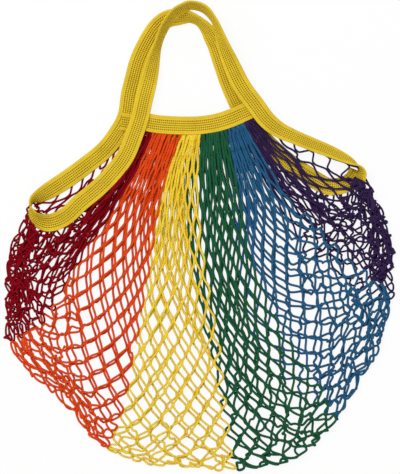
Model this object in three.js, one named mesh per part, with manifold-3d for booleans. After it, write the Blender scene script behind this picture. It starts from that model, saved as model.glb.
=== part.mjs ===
// A net shopping bag lying flat: a striped net pouch, two mouth bands, and two strips of band
// that each bind half of both side edges and run up into a handle. Millimetres, +Z up, +Y towards
// the handles. The net is a 2 mm sheet with its largest meshes cut through.
import * as THREE from 'three';
import { mergeVertices } from 'three/addons/utils/BufferGeometryUtils.js';
import Module from 'manifold-3d';

// ---- driving dimensions ----
const BAND_WIDTH = 19;
const BAND_THICK = 2;
const NET_THICK = 2;
const SEAM_GAP = 0.3; // between pieces that are sewn to each other
const SELVEDGE_GAP = 0.7; // between the net and the curved strips that bind its side edges
const BACK_Z = 1; // middle of the back layer, which lies on the surface
const FRONT_Z = 11; // middle of the front layer over the belly
const BACK_MOUTH_Z = 3.3; // the back mouth band lies on the back strip
const FRONT_MOUTH_Z = 11;
const FOLD_BEND = 2.2; // bend radius of the net where front turns into back
const FOLD_TAPER = 0.28; // share of its length over which the front layer comes down to the fold
const MOUTH_DIP = 0.12; // share of its length over which the back layer comes down from its mouth
const BOW_SKEW = 0.8; // under 1, a seam bows out most nearer the mouth than the fold

const STRIPES = ['dark_red', 'orange', 'yellow', 'green', 'blue', 'purple'];
const MESHES_PER_STRIPE = 5.5; // diamonds of the net across one stripe
const MESH_ROWS = 12; // rows of diamonds from a mouth band to the fold
const YARN = 3; // what is left between two meshes
const SMALLEST_MESH = 8; // narrower meshes are too small to be cut
const FIRST_OPEN_ROW = 6;
const LAST_OPEN_ROW = 10;

const LAYER_STEPS = 14;
const FOLD_STEPS = 4;
const STRIPE_STEPS = 4;
const STEPS_PER_STATION = 3;
const MOUTH_STEPS = 16;

const COLOURS = {
  band: 0xcfae36,
  dark_red: 0x7d0519,
  orange: 0xd2401a,
  yellow: 0xe6b928,
  green: 0x1b4f2c,
  blue: 0x275f82,
  purple: 0x35284a,
};

// ---- small helpers ----
const namedRow = (columns, row) => Object.fromEntries(columns.map((name, i) => [name, row[i]]));
const named = (columns, rows) => rows.map((row) => namedRow(columns, row));
const mix = (a, b, t) => a + (b - a) * t;
const ease = (t) => THREE.MathUtils.smoothstep(t, 0, 1);
const radians = THREE.MathUtils.degToRad;

// ---- where the band lies ----
// x, y: middle of the strip. foot: height of its lowest edge. turn: how far the strip has rolled
// about its own run, 0 with its outer face up and 180 with it down; at 90 it stands on its net edge.
const FRONT_STRIP = named(['x', 'y', 'foot', 'turn'], [
  [-176.4, 32, 2.4, 90], // left tip
  [-176, 28, 2.4, 74],
  [-172.5, 20.5, 2.4, 52],
  [-165, 15.5, 2.6, 26],
  [-154.5, 14.5, 3.6, 6],
  [-139.5, 21, 6, 0],
  [-123.5, 36, 8.5, 0],
  [-107, 50, 10, 0],
  [-93.5, 63.5, 10, 0],
  [-78, 83, 10.8, 0],
  [-68, 106.5, 12.3, 0], // over the left end of the front mouth band
  [-62, 124.5, 12.3, 0],
  [-58, 143.5, 11.5, 4],
  [-50.5, 172.5, 7, 30],
  [-44, 199, 5, 64],
  [-36.5, 218, 8, 64],
  [-26, 232.5, 11.5, 60], // over the back handle
  [-17, 238.6, 15, 62],
  [-8.5, 241.6, 15, 66],
  [6, 237.6, 12.6, 68],
  [17.3, 223.3, 14, 73],
  [25.3, 200, 13, 48],
  [35.5, 176, 11, 20],
  [46, 155.5, 11.5, 2],
  [59, 137.5, 12.3, 0], // over the right end of the front mouth band
  [70.5, 122.5, 11, -10],
  [84, 112, 6.5, -26],
  [100.5, 104.3, 2.5, -38],
  [118.5, 97, 0, -42],
  [137.5, 89.2, 0, -48],
  [152.5, 83, 1, -50],
  [161.5, 79, 2.3, -44],
  [168, 75.8, 2.4, -36], // right tip, lapped over the back strip
]);

const BACK_STRIP = named(['x', 'y', 'foot', 'turn'], [
  [166.5, 69.5, 0, -176], // right tip
  [163.5, 62.5, 0, -170],
  [156.5, 56.3, 0, -166],
  [147, 53, 0, -166],
  [135.5, 53, 0, -170],
  [123, 59, 0, -178],
  [110, 67, 0, -180],
  [95.5, 77, 0, -180],
  [77.5, 92, 0, -180],
  [63.5, 107, 0, -180],
  [52.5, 121.5, 0, -180], // under the right end of the back mouth band
  [43, 136, 0, -180],
  [35, 153, 0, -183],
  [27, 175, 0, -190],
  [18, 200, 0, -201],
  [13, 209.5, 0, -209],
  [8, 217.5, 0, -228],
  [0.5, 225.2, 0, -243],
  [-7.5, 229.5, 0, -239],
  [-14.5, 231, 0, -220],
  [-22, 230.8, 0, -206],
  [-33.5, 228.5, 0, -199],
  [-44, 220.5, 0, -193],
  [-54, 205.5, 0, -186],
  [-64.5, 181, 0, -181],
  [-71.5, 154, 0, -180],
  [-76, 128.5, 0, -180], // under the left end of the back mouth band
  [-84, 111, 0, -180],
  [-96.5, 94, 0, -180],
  [-116.5, 76.5, 0, -180],
  [-137.5, 61.5, 0, -184],
  [-154.5, 50, 0, -198],
  [-166, 43, 0.6, -222],
  [-173, 39.2, 2, -245],
  [-176, 35.8, 2.4, -262],
  [-176.4, 32.4, 2.4, -270], // left tip, end to end with the front strip
]);

// Stations at which each strip comes to the corners of its mouth, where its side edges begin.
const FRONT_MOUTH_STATIONS = { left: 10.3, right: 24.7 };
const BACK_MOUTH_STATIONS = { left: 26.9, right: 9.4 };
const FRONT_NET_EDGE = { from: 0.02, to: 0.93 }; // share of the mouth band that the net hangs from
const BACK_NET_EDGE = { from: 0.06, to: 0.95 };

const FRONT_MOUTH = named(['x', 'y'], [
  [-63, 121.5],
  [-41, 117.5],
  [-12.5, 116],
  [11.5, 118],
  [32.5, 123.5],
  [59, 135],
]);

const BACK_MOUTH = named(['x', 'y'], [
  [-82, 121],
  [-51.5, 116.5],
  [-12.5, 115],
  [17, 118],
  [49.5, 130.5],
]);

// The fold between front and back, from the left tip round the bottom to the right tip: one point
// at each seam between two stripes and one in the middle of each stripe.
const FOLD = named(['x', 'y'], [
  [-185, 19.5],
  [-204.5, -48],
  [-190, -111],
  [-149, -174],
  [-91, -217.5],
  [-28.5, -236],
  [37, -244.5],
  [93.5, -234.5],
  [139.5, -197],
  [177.5, -137],
  [199.5, -67.5],
  [205, -1.5],
  [178.7, 66.5],
]);

// Where each seam between two stripes starts on the mouth band, as a share of the net's edge there,
// and how far it bows sideways and down between mouth and fold.
const SEAM_COLUMNS = ['front', 'bowX', 'bowY', 'back', 'backBowX', 'backBowY'];
const SEAMS = named(SEAM_COLUMNS, [
  [0, 0, 0, 0, 0, 0],
  [0.11, 1, 2, 0.09, 0, 0],
  [0.33, 10, 2, 0.29, -4, 0],
  [0.52, -8, 2, 0.48, -18, 0],
  [0.76, -22, 0, 0.7, -26, 0],
  [0.92, -14, -6, 0.88, -16, -6],
  [1, 0, 0, 1, 0, 0],
]);

// ---- curves and closed skins ----
const curve = (rows, a, b) => {
  const points = rows.map((row) => new THREE.Vector3(row[a], row[b], 0));
  return new THREE.CatmullRomCurve3(points);
};

function closedGeometry(positions, triangles) {
  const geometry = new THREE.BufferGeometry();
  geometry.setAttribute('position', new THREE.Float32BufferAttribute(positions.flatMap((p) => p.toArray()), 3));
  geometry.setIndex(triangles);
  return geometry;
}

// Rings of equal length, joined one to the next and closed at both ends by a fan.
function skinRings(rings) {
  const count = rings[0].length;
  const triangles = [];
  const quad = (a, b, c, d) => triangles.push(a, b, c, a, c, d);
  for (let r = 0; r < rings.length - 1; r += 1) {
    for (let i = 0; i < count; i += 1) {
      const next = (i + 1) % count;
      quad(r * count + i, r * count + next, (r + 1) * count + next, (r + 1) * count + i);
    }
  }
  const last = (rings.length - 1) * count;
  for (let i = 1; i < count - 1; i += 1) {
    triangles.push(0, i + 1, i);
    triangles.push(last, last + i, last + i + 1);
  }
  return closedGeometry(rings.flat(), triangles);
}

// ---- the band ----
const strip = (stations) => ({
  last: stations.length - 1,
  plan: curve(stations, 'x', 'y'),
  lie: curve(stations, 'foot', 'turn'),
});

const frontStrip = strip(FRONT_STRIP);
const backStrip = strip(BACK_STRIP);

// Middle of a strip at a station number, which may be a fraction, with the directions of its section:
// across from the free edge to the net edge, and face out of its outer side.
function stripAt(path, station) {
  const t = station / path.last;
  const place = path.plan.getPoint(t);
  const lie = path.lie.getPoint(t);
  const run = path.plan.getTangent(t);
  const left = new THREE.Vector3(-run.y, run.x, 0).normalize();
  const turn = radians(lie.y);
  const flat = Math.cos(turn);
  const steep = Math.sin(turn);
  const across = left.clone().multiplyScalar(-flat).setZ(-steep);
  const face = left.clone().multiplyScalar(-steep).setZ(flat);
  const z = Math.max(lie.x, 0) + (Math.abs(steep) * BAND_WIDTH + Math.abs(flat) * BAND_THICK) / 2;
  const reach = (Math.abs(flat) * BAND_WIDTH + Math.abs(steep) * BAND_THICK) / 2;
  return { middle: place.setZ(z), across, face, left, reach };
}

function bandSection(middle, across, face) {
  const corner = (a, f) => {
    const edge = middle.clone().addScaledVector(across, (a * BAND_WIDTH) / 2);
    return edge.addScaledVector(face, (f * BAND_THICK) / 2);
  };
  return [corner(-1, -1), corner(-1, 1), corner(1, 1), corner(1, -1)];
}

function stripGeometry(path) {
  const steps = path.last * STEPS_PER_STATION;
  const rings = [];
  for (let i = 0; i <= steps; i += 1) {
    const at = stripAt(path, i / STEPS_PER_STATION);
    rings.push(bandSection(at.middle, at.across, at.face));
  }
  return skinRings(rings);
}

const frontMouth = curve(FRONT_MOUTH, 'x', 'y');
const backMouth = curve(BACK_MOUTH, 'x', 'y');

function mouthAt(path, t) {
  const run = path.getTangent(t);
  return { middle: path.getPoint(t), across: new THREE.Vector3(run.y, -run.x, 0) };
}

function mouthGeometry(path, z) {
  const rings = [];
  for (let i = 0; i <= MOUTH_STEPS; i += 1) {
    const at = mouthAt(path, i / MOUTH_STEPS);
    rings.push(bandSection(at.middle.setZ(z), at.across, new THREE.Vector3(0, 0, 1)));
  }
  return skinRings(rings);
}

// ---- the net ----
const foldPath = curve(FOLD, 'x', 'y');

// The edge of the net along a strip, from the mouth at t = 0 to the tip at t = 1. side is 1 on the
// left of the strip's run and -1 on its right. Near the tip the edge bends over to the fold.
function selvedge(path, mouthStation, tipStation, side, tip) {
  const beside = (t) => {
    const at = stripAt(path, mix(mouthStation, tipStation, t));
    return at.middle.setZ(0).addScaledVector(at.left, side * (at.reach + SELVEDGE_GAP));
  };
  const pull = tip.clone().sub(beside(1));
  return (t) => beside(t).addScaledVector(pull, ease((t - 0.75) / 0.25));
}

// A column of the seam table at u, from 0 at the left edge of the net to 1 at the right one.
function acrossSeams(column) {
  return (u) => {
    const place = u * STRIPES.length;
    const i = Math.min(Math.floor(place), STRIPES.length - 1);
    return mix(SEAMS[i][column], SEAMS[i + 1][column], place - i);
  };
}

// Edge of a layer at the fold, drawn in from the outline by the bend of the net.
function foldEdge(u) {
  const run = foldPath.getTangent(u);
  const inward = new THREE.Vector3(-run.y, run.x, 0);
  return foldPath.getPoint(u).addScaledVector(inward, FOLD_BEND + NET_THICK / 2);
}

// One layer in plan: four edges (mouth, fold and two side edges) and what lies between them.
function layerPlan({ mouth, netEdge, left, right, columns }) {
  const share = acrossSeams(columns.share);
  const bowX = acrossSeams(columns.bowX);
  const bowY = acrossSeams(columns.bowY);
  const mouthEdge = (s) => {
    const at = mouthAt(mouth, mix(netEdge.from, netEdge.to, s));
    return at.middle.addScaledVector(at.across, BAND_WIDTH / 2 + SEAM_GAP);
  };
  const leftCorner = left(0).sub(mouthEdge(0));
  const rightCorner = right(0).sub(mouthEdge(1));
  const top = (u) => {
    const s = share(u);
    const edge = mouthEdge(s);
    return edge.addScaledVector(leftCorner, (1 - s) ** 6).addScaledVector(rightCorner, s ** 6);
  };
  return (u, v) => {
    const s = share(u);
    const a = mix(s, u, v);
    const point = new THREE.Vector3();
    point.addScaledVector(top(u), 1 - v).addScaledVector(foldEdge(u), v);
    const leftPull = left(v).sub(left(0).lerp(foldEdge(0), v));
    const rightPull = right(v).sub(right(0).lerp(foldEdge(1), v));
    point.addScaledVector(leftPull, 1 - a).addScaledVector(rightPull, a);
    const lean = v ** BOW_SKEW;
    const bow = 4 * lean * (1 - lean);
    point.x += bowX(u) * bow;
    point.y += bowY(u) * bow;
    return point;
  };
}

const FOLD_TOP = BACK_Z + 2 * FOLD_BEND;
const frontHeight = (v) => mix(FOLD_TOP, FRONT_Z, ease((1 - v) / FOLD_TAPER));
const backHeight = (v) => mix(BACK_Z, BACK_MOUTH_Z, ease(1 - v / MOUTH_DIP));

const layers = {
  front: layerPlan({
    mouth: frontMouth,
    netEdge: FRONT_NET_EDGE,
    left: selvedge(frontStrip, FRONT_MOUTH_STATIONS.left, 0, -1, foldEdge(0)),
    right: selvedge(frontStrip, FRONT_MOUTH_STATIONS.right, frontStrip.last, -1, foldEdge(1)),
    columns: { share: 'front', bowX: 'bowX', bowY: 'bowY' },
  }),
  back: layerPlan({
    mouth: backMouth,
    netEdge: BACK_NET_EDGE,
    left: selvedge(backStrip, BACK_MOUTH_STATIONS.left, backStrip.last, 1, foldEdge(0)),
    right: selvedge(backStrip, BACK_MOUTH_STATIONS.right, 0, 1, foldEdge(1)),
    columns: { share: 'back', bowX: 'backBowX', bowY: 'backBowY' },
  }),
};

// One line of the net from the front mouth band round the fold to the back one: its middle, and the
// direction of its outside.
function netLine(u) {
  const line = [];
  const up = new THREE.Vector3(0, 0, 1);
  for (let j = 0; j <= LAYER_STEPS; j += 1) {
    const v = j / LAYER_STEPS;
    line.push({ middle: layers.front(u, v).setZ(frontHeight(v)), outside: up });
  }
  const out = foldPath.getTangent(u);
  const outward = new THREE.Vector3(out.y, -out.x, 0);
  const edge = layers.front(u, 1).setZ(BACK_Z + FOLD_BEND);
  for (let k = 1; k < FOLD_STEPS; k += 1) {
    const angle = (Math.PI * k) / FOLD_STEPS;
    const outside = outward.clone().multiplyScalar(Math.sin(angle)).addScaledVector(up, Math.cos(angle));
    line.push({ middle: edge.clone().addScaledVector(outside, FOLD_BEND), outside });
  }
  for (let j = LAYER_STEPS; j >= 0; j -= 1) {
    const v = j / LAYER_STEPS;
    line.push({ middle: layers.back(u, v).setZ(backHeight(v)), outside: up.clone().negate() });
  }
  return line;
}

// A stripe of the net: lines side by side, each given its thickness, skinned into one closed sheet.
function stripeGeometry(index) {
  const lines = [];
  for (let i = 0; i <= STRIPE_STEPS; i += 1) {
    lines.push(netLine((index + i / STRIPE_STEPS) / STRIPES.length));
  }
  const inset = (line, neighbour) => line.forEach((point, j) => {
    const across = neighbour[j].middle.clone().sub(point.middle).setZ(0).normalize();
    point.middle.addScaledVector(across, SEAM_GAP / 2);
  });
  if (index > 0) inset(lines[0], lines[1]);
  if (index < STRIPES.length - 1) inset(lines[STRIPE_STEPS], lines[STRIPE_STEPS - 1]);
  const skin = (side) => (line) => line.map(({ middle, outside }) => {
    return middle.clone().addScaledVector(outside, (side * NET_THICK) / 2);
  });
  return sheetGeometry([...lines.map(skin(1)), ...lines.map(skin(-1)).reverse()]);
}

// Closes a sheet given as open lines: those of its outer skin one way, then its inner ones back.
function sheetGeometry(lines) {
  const count = lines[0].length;
  const triangles = [];
  const at = (line, j) => line * count + j;
  for (let i = 0; i < lines.length; i += 1) {
    const next = (i + 1) % lines.length;
    for (let j = 0; j < count - 1; j += 1) {
      triangles.push(at(i, j), at(i, j + 1), at(next, j + 1), at(i, j), at(next, j + 1), at(next, j));
    }
  }
  const half = lines.length / 2;
  for (let i = 0; i < half - 1; i += 1) {
    const under = lines.length - 1 - i;
    const end = count - 1;
    triangles.push(at(i, 0), at(i + 1, 0), at(under - 1, 0));
    triangles.push(at(i, 0), at(under - 1, 0), at(under, 0));
    triangles.push(at(i, end), at(under - 1, end), at(i + 1, end));
    triangles.push(at(i, end), at(under, end), at(under - 1, end));
  }
  return closedGeometry(lines.flat(), triangles);
}

// ---- meshes of the net ----
// The corners, in plan, of the open diamond at a stripe's column and the net's row, or null where
// the net is gathered too closely.
function diamond(layer, index, column, row) {
  const wide = 0.5 / STRIPES.length / MESHES_PER_STRIPE;
  const tall = 0.5 / MESH_ROWS;
  const u = (index + (column + (row % 2 ? 0.75 : 0.25) + 0.5) / MESHES_PER_STRIPE) / STRIPES.length;
  const v = (row + 0.5) / MESH_ROWS;
  const centre = layer(u, v);
  const ends = [layer(u - wide, v), layer(u, v + tall), layer(u + wide, v), layer(u, v - tall)];
  const open = ends.map((end) => {
    const spoke = end.sub(centre);
    const length = spoke.length();
    return centre.clone().addScaledVector(spoke, Math.max(length - YARN / 1.6, 0.1) / length);
  });
  return open[0].distanceTo(open[2]) < SMALLEST_MESH ? null : open;
}

function diamondPrism(corners, low, high) {
  const area = THREE.ShapeUtils.area(corners);
  const ring = area > 0 ? corners : [...corners].reverse();
  return skinRings([ring.map((p) => p.clone().setZ(low)), ring.map((p) => p.clone().setZ(high))]);
}

function meshHoles(index) {
  const middle = (BACK_Z + FOLD_TOP) / 2;
  const holes = [];
  for (let row = FIRST_OPEN_ROW; row <= LAST_OPEN_ROW; row += 1) {
    for (let column = 0; column < MESHES_PER_STRIPE - 1; column += 2) {
      const front = diamond(layers.front, index, column, row);
      const back = diamond(layers.back, index, column, row);
      if (front) holes.push(diamondPrism(front, middle, FRONT_Z + 5));
      if (back) holes.push(diamondPrism(back, -5, middle));
    }
  }
  return holes;
}

// ---- cutting ----
const wasm = await Module();
wasm.setup();

function toSolid(geometry) {
  const merged = mergeVertices(geometry);
  const mesh = new wasm.Mesh({
    numProp: 3,
    vertProperties: new Float32Array(merged.attributes.position.array),
    triVerts: new Uint32Array(merged.index.array),
  });
  return new wasm.Manifold(mesh);
}

function toGeometry(solid) {
  const mesh = solid.getMesh();
  const geometry = new THREE.BufferGeometry();
  geometry.setAttribute('position', new THREE.BufferAttribute(new Float32Array(mesh.vertProperties), 3));
  geometry.setIndex(Array.from(mesh.triVerts));
  return geometry;
}

function cutStripe(index) {
  const sheet = toSolid(stripeGeometry(index));
  return toGeometry(meshHoles(index).reduce((solid, hole) => solid.subtract(toSolid(hole)), sheet));
}

// ---- the bag ----
const bag = new THREE.Group();

function addPiece(name, geometry, colour, roughness) {
  geometry.computeVertexNormals();
  const material = new THREE.MeshStandardMaterial({ color: colour, roughness, metalness: 0 });
  const mesh = new THREE.Mesh(geometry, material);
  mesh.name = name;
  bag.add(mesh);
}

addPiece('front_strip', stripGeometry(frontStrip), COLOURS.band, 0.9);
addPiece('back_strip', stripGeometry(backStrip), COLOURS.band, 0.9);
addPiece('front_mouth_band', mouthGeometry(frontMouth, FRONT_MOUTH_Z), COLOURS.band, 0.9);
addPiece('back_mouth_band', mouthGeometry(backMouth, BACK_MOUTH_Z), COLOURS.band, 0.9);
STRIPES.forEach((name, index) => addPiece(`net_${name}`, cutStripe(index), COLOURS[name], 0.85));

export default bag;
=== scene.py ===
# %% [markdown]
# # A striped net shopping bag, lying flat
# The real bag is a knotless net in six colours: 66 yarns run side by side down the front, round the
# bottom and up the back, and each is joined in turn to its left and right neighbour. The net is
# gathered into two short bands at the mouth, and two long strips of the same ribbed band bind its
# side edges and go on as the handles. The packed model gives every piece its place, so it is loaded
# first.

import bmesh
import bpy
import numpy as np
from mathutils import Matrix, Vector


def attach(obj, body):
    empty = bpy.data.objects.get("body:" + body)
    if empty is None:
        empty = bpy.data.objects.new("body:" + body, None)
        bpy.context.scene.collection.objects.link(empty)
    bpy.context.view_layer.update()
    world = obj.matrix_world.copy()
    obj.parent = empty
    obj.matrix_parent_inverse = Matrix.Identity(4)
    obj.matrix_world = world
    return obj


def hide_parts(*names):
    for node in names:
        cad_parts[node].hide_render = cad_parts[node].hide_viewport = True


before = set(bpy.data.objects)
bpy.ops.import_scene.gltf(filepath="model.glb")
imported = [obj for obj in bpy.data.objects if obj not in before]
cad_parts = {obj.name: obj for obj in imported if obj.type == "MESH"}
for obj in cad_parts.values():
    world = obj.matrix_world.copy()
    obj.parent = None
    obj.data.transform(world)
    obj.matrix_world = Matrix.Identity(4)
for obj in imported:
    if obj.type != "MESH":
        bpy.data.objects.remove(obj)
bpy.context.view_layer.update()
print("solids:", sorted(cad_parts))

# %% [markdown]
# ## Sizes
# Tables and sizes are in millimetres, because that is how cloth is measured, and each mesh is
# turned into metres when it is made. Every random generator has a seed, so the scene is the same
# each time.

# %% Named sizes
MM = 0.001
BAND_WIDTH = 19.0
BAND_THICK = 2.0
YARN = 2.3  # thickness of a yarn
BAR = 17.0  # yarn from the middle of one joint to the middle of the next
JOINT = 3.4  # length over which two yarns run side by side
STRIPES = ("dark_red", "orange", "yellow", "green", "blue", "purple")
STRIPE_YARNS = 11  # yarns of each colour at the mouth
EXTRA = 4  # yarns at each side that run only from strip to strip
FIRST_EXTRA_ROW = 5  # half row in which the first of them begins
YARNS = len(STRIPES) * STRIPE_YARNS + 2 * EXTRA
HALF_ROWS = 24  # bars of one yarn from a mouth band to the fold
rng = np.random.default_rng(7)
print("length of a whole yarn, in metres:", 2 * HALF_ROWS * BAR * MM)

# %% [markdown]
# ## Where the bands lie
# A knitted band keeps its width, and rolls over rather than creases as the net pulls on it. A cloth
# simulation would need the pull of the whole net, so each strip is a table of stations instead.
# `foot` is the height of its lowest edge, `turn` is how far it has rolled about its own run (0 with
# its outer face up, 180 with it down, 90 standing on the edge that holds the net), and `curl` is
# how far its two edges are bent together. A smooth curve through the stations gives the rest.

# %% Stations of the front strip
# x, y, foot, turn, curl
FRONT_STRIP = [
    (-176.4, 32, 2.4, 90, 10),
    (-176, 28, 2.4, 74, 10),
    (-172.5, 20.5, 2.4, 52, 10),
    (-165, 15.5, 2.6, 26, 14),
    (-154.5, 14.5, 3.6, 6, 14),
    (-139.5, 21, 6, 0, 10),
    (-123.5, 36, 8.5, 0, 6),
    (-107, 50, 10, 0, 6),
    (-93.5, 63.5, 10, 0, 6),
    (-78, 83, 10.8, 0, 8),
    (-68, 106.5, 12.3, 0, 8),
    (-62, 124.5, 12.3, 0, 8),
    (-58, 143.5, 11.5, 4, 8),
    (-50.5, 172.5, 7, 30, 8),
    (-44, 199, 5, 64, 4),
    (-36.5, 218, 8, 64, 6),
    (-26, 232.5, 11.5, 60, 10),
    (-17, 238.6, 15, 62, 10),
    (-8.5, 241.6, 15, 66, 10),
    (6, 237.6, 12.6, 68, 10),
    (17.3, 223.3, 14, 73, 8),
    (25.3, 200, 13, 48, 8),
    (35.5, 176, 11, 20, 8),
    (46, 155.5, 11.5, 2, 8),
    (59, 137.5, 12.3, 0, 8),
    (70.5, 122.5, 11, -10, 8),
    (84, 112, 6.5, -26, 8),
    (100.5, 104.3, 2.5, -38, 8),
    (118.5, 97, 0, -42, 8),
    (137.5, 89.2, 0, -48, 8),
    (151.5, 83, 0.5, -58, 8),
    (161, 78.2, 0.5, -72, 8),
    (168, 73, 0.5, -96, 10),
    (170.2, 66.5, 0.5, -118, 20),
    (167.5, 60.5, 0.5, -136, 30),
]
print("stations of the front strip:", len(FRONT_STRIP))

# %% Stations of the back strip
# x, y, foot, turn, curl
BACK_STRIP = [
    (166.5, 69.5, 1.1, -176, 20),
    (163.5, 62.5, 1.1, -170, 40),
    (156.5, 56.3, 1.1, -166, 60),
    (147, 53, 1.1, -166, 60),
    (135.5, 53, 1.1, -170, 50),
    (123, 59, 1.1, -178, 24),
    (110, 67, 1.1, -180, 10),
    (95.5, 77, 1.1, -180, 6),
    (77.5, 92, 1.1, -180, 0),
    (63.5, 107, 1.1, -180, 0),
    (52.5, 121.5, 1.1, -180, 0),
    (43, 136, 1.1, -180, 0),
    (35, 153, 1.1, -183, 0),
    (27, 175, 1.1, -190, 4),
    (18, 200, 1.1, -201, 4),
    (13, 209.5, 1.1, -209, 4),
    (8, 217.5, 1.1, -228, 4),
    (0.5, 225.2, 1.1, -243, 4),
    (-7.5, 229.5, 1.1, -239, 4),
    (-14.5, 231, 1.1, -220, 4),
    (-22, 230.8, 1.1, -206, 4),
    (-33.5, 228.5, 1.1, -199, 4),
    (-44, 220.5, 1.1, -193, 4),
    (-54, 205.5, 1.1, -186, 4),
    (-64.5, 181, 1.1, -181, 4),
    (-71.5, 154, 1.1, -180, 0),
    (-76, 128.5, 1.1, -180, 0),
    (-84, 111, 1.1, -180, 0),
    (-96.5, 94, 1.1, -180, 0),
    (-116.5, 76.5, 1.1, -180, 0),
    (-137.5, 61.5, 1.1, -184, 0),
    (-154.5, 50, 1.1, -198, 4),
    (-166, 43, 1.6, -222, 8),
    (-173, 39.2, 2, -245, 10),
    (-176, 35.8, 2.4, -262, 10),
    (-176.4, 32.4, 2.4, -270, 10),
]
print("stations of the back strip:", len(BACK_STRIP))

# %% Stations of the mouth bands
# x, y, foot, turn, curl
FRONT_MOUTH = [
    (-63, 121.5, 10, 0, 0),
    (-41, 117.5, 10, 0, 0),
    (-12.5, 116, 10, 0, 0),
    (11.5, 118, 10, 0, 0),
    (32.5, 123.5, 10, 0, 0),
    (59, 135, 10, 0, 0),
]
BACK_MOUTH = [
    (49.5, 130.5, 2.3, 180, 0),
    (17, 118, 2.3, 180, 0),
    (-12.5, 115, 2.3, 180, 0),
    (-51.5, 116.5, 2.3, 180, 0),
    (-82, 121, 2.3, 180, 0),
]
print("stations of the mouth bands:", len(FRONT_MOUTH), len(BACK_MOUTH))


# %% Curves through stations
def smooth_step(a, b, c, d, t):
    """From b, where t is 0, to c, where it is 1, on a curve that also heeds a and d."""
    cubic = (3 * b - a - 3 * c + d) * t**3
    return 0.5 * (2 * b + (c - a) * t + (2 * a - 5 * b + 4 * c - d) * t**2 + cubic)


def along(rows, station):
    """The row at a station, which may be a fraction or an array, on a smooth curve."""
    rows = np.asarray(rows, float)
    station = np.clip(np.asarray(station, float), 0, len(rows) - 1)
    first = np.minimum(station.astype(int), len(rows) - 2)
    padded = np.vstack([2 * rows[0] - rows[1], rows, 2 * rows[-1] - rows[-2]])
    return smooth_step(*(padded[first + k] for k in range(4)), (station - first)[..., None])


def unit(vectors):
    """Vectors of length 1 that point the same ways."""
    length = np.linalg.norm(vectors, axis=-1, keepdims=True)
    return vectors / np.maximum(length, 1e-9)


print("front strip between its first two stations:", along(FRONT_STRIP, 0.5).round(1))


# %% How a strip lies at a station
NUDGE = 0.04  # of a station, to either side, for the way that a strip runs


def strip_at(rows, station):
    """Middle of a strip, the way across it to the net edge, the way its outer face looks, and its
    curl."""
    row = along(rows, station)
    run = unit((along(rows, station + NUDGE) - along(rows, station - NUDGE))[..., :2])
    turn = np.radians(row[..., 3])
    flat = np.cos(turn)
    steep = np.sin(turn)
    left = np.stack([-run[..., 1], run[..., 0], 0 * flat], -1)
    across = -left * flat[..., None]
    across[..., 2] = -steep
    face = -left * steep[..., None]
    face[..., 2] = flat
    middle = row[..., :3].copy()
    height = (np.abs(steep) * BAND_WIDTH + np.abs(flat) * BAND_THICK) / 2
    middle[..., 2] = np.maximum(row[..., 2], 0) + height
    return middle, across, face, np.radians(row[..., 4])


print("left tip:", strip_at(FRONT_STRIP, np.array([0.0]))[0].round(1))

# %% [markdown]
# ## The ribbed band
# The real band is knitted: ribs run along it, and between them lie rows of small holes. The holes
# are too small to be shape, but the ribs and the round edges aren't, so the section is drawn once
# with its grooves. A flat bmesh grid has one column for each point of that section and one row for
# each couple of millimetres of band. Bending the grid round the section and along the run gives a
# tube, whose two long edges are then welded and whose ends are filled.

# %% Section of the band
GROOVES = (-4.4, -2.0, 0.4, 2.8, 5.2)  # across the band, from its free edge to its net edge
GROOVE_DEPTH = 0.38
GROOVE_HALF = 0.42  # half of a groove's width
EDGE_ROUND = 1.1


def half_thickness(across):
    """From the middle of the band to its face, which has grooves and round edges."""
    over = np.clip((np.abs(across) - (BAND_WIDTH / 2 - EDGE_ROUND)) / EDGE_ROUND, 0, 1)
    thick = BAND_THICK / 2 * np.sqrt(1 - over**2)
    for groove in GROOVES:
        thick = thick - GROOVE_DEPTH * np.exp(-(((across - groove) / GROOVE_HALF) ** 2))
    return thick


steps = [-7.2, -5.8, 6.7, 7.7]
steps += [side * edge for edge in (8.5, 9.1, 9.42, 9.5) for side in (-1, 1)]
steps += [groove + side for groove in GROOVES for side in (-0.7, -0.3, 0, 0.3, 0.7)]
steps = np.array(sorted(steps))
outer = np.stack([steps, half_thickness(steps)], -1)
inner = np.stack([steps[-2:0:-1], -half_thickness(steps[-2:0:-1])], -1)
section = np.vstack([outer, inner])
print("points round the section:", len(section))


# %% Points of a bent band
WAVER = (0.35, 22)  # how far a band strays sideways, and the length over which that changes
CURL_CHANGE = (0.1, 30)  # the same for its curl, in radians
LEAST_CURL = 1e-4  # a band without any curl would have no radius


def smooth_noise(places, size, seed):
    """Smooth random values from -1 to 1 along a line, changing over about `size`."""
    knots = np.random.default_rng(seed).uniform(-1, 1, (int(places.max() / size) + 4, 1))
    return along(knots, places / size)[..., 0]


def distance_along(path):
    """How far each point of a path is from its first one, along the path."""
    return np.concatenate([[0], np.linalg.norm(np.diff(path, axis=0), axis=1).cumsum()])


def run_length(rows, count=2000):
    """Distances along a band's run, and the stations that they belong to."""
    stations = np.linspace(0, len(rows) - 1, count)
    return distance_along(strip_at(rows, stations)[0]), stations


def band_points(rows, places, around, seed):
    """Points of a band at distances along its run and at points round its section."""
    gone, stations = run_length(rows)
    middle, across, face, curl = strip_at(rows, np.interp(places, gone, stations))
    middle = middle + across * WAVER[0] * smooth_noise(places, WAVER[1], seed)[:, None]
    curl = curl + CURL_CHANGE[0] * smooth_noise(places, CURL_CHANGE[1], seed + 1) + LEAST_CURL
    a, f = section[around, 0], section[around, 1]
    radius = BAND_WIDTH / curl
    bend = a / radius
    side = ((radius - f) * np.sin(bend))[:, None]
    rise = (radius - (radius - f) * np.cos(bend) - BAND_WIDTH * curl / 16)[:, None]
    return middle + across * side + face * rise


tip = band_points(FRONT_STRIP, np.zeros(len(section)), np.arange(len(section)), 0)
print("section at the left tip:", tip.min(0).round(1), "to", tip.max(0).round(1))


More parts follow.
